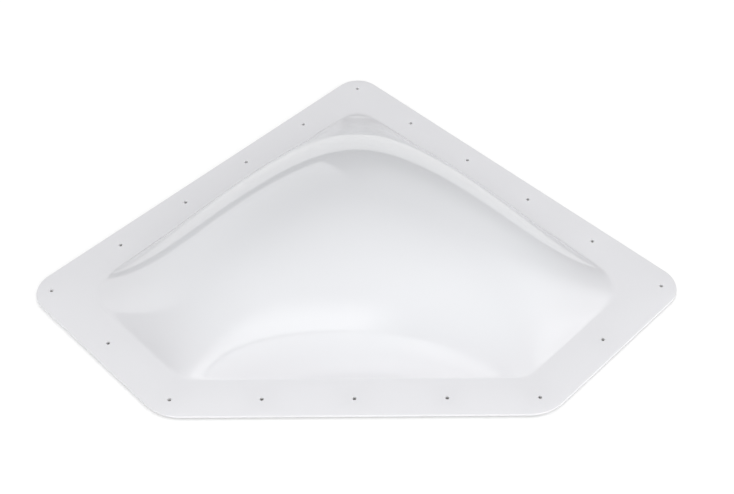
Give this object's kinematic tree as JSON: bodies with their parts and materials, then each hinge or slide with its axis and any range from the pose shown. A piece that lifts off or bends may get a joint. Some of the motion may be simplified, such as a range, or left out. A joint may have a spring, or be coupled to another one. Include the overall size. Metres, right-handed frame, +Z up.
{
  "type": "neo-angle roof skylight",
  "caption": "Five-sided white roof dome for a corner shower: flat screw flange, blown bubble and butyl tape seal underneath.",
  "frame": {"origin": "middle of the flange's bounding box, at the underside of the sealing tape, where the part meets the roof", "axes": "+Z up out of the roof, +Y towards the right-angled apex between the two long walls, +X along the front edge to the right"},
  "size_m": [0.832, 0.6137, 0.1204],
  "materials": {
    "dome_sheet": "glossy white translucent polycarbonate sheet, free-blown",
    "butyl_tape": "matt grey butyl sealing tape"
  },
  "bodies": {
    "root": {"outer_dome": "dome_sheet", "seal_tape_right_wall": "butyl_tape", "seal_tape_right_return": "butyl_tape", "seal_tape_front": "butyl_tape", "seal_tape_left_return": "butyl_tape", "seal_tape_left_wall": "butyl_tape"}
  },
  "joints": []
}
